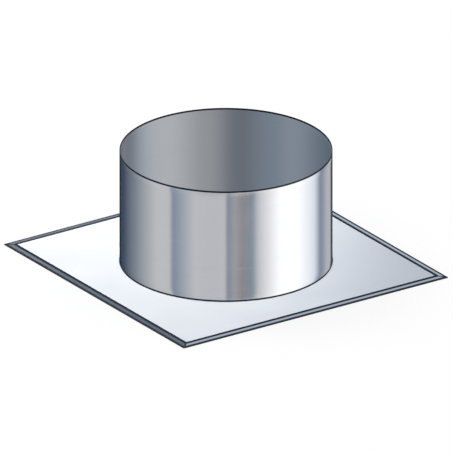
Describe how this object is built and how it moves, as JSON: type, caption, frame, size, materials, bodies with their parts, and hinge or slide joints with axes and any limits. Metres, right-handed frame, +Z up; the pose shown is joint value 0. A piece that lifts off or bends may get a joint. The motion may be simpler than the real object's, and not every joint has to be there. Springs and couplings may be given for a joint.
{
  "type": "roof flashing",
  "caption": "Square sheet metal roof plate with a folded border and a tall round collar through which a vertical pipe or flue passes.",
  "frame": {"origin": "on the collar's axis, level with the lowest edge of the folded border", "axes": "+Z up along the collar's axis; X and Y parallel to the plate's sides"},
  "size_m": [0.4, 0.4, 0.1518],
  "materials": {
    "plate_steel": "bright cold-rolled stainless sheet",
    "collar_steel": "bright cold-rolled stainless sheet, grain running round the ring"
  },
  "bodies": {
    "root": {"base_plate": "plate_steel", "collar": "collar_steel"}
  },
  "joints": []
}
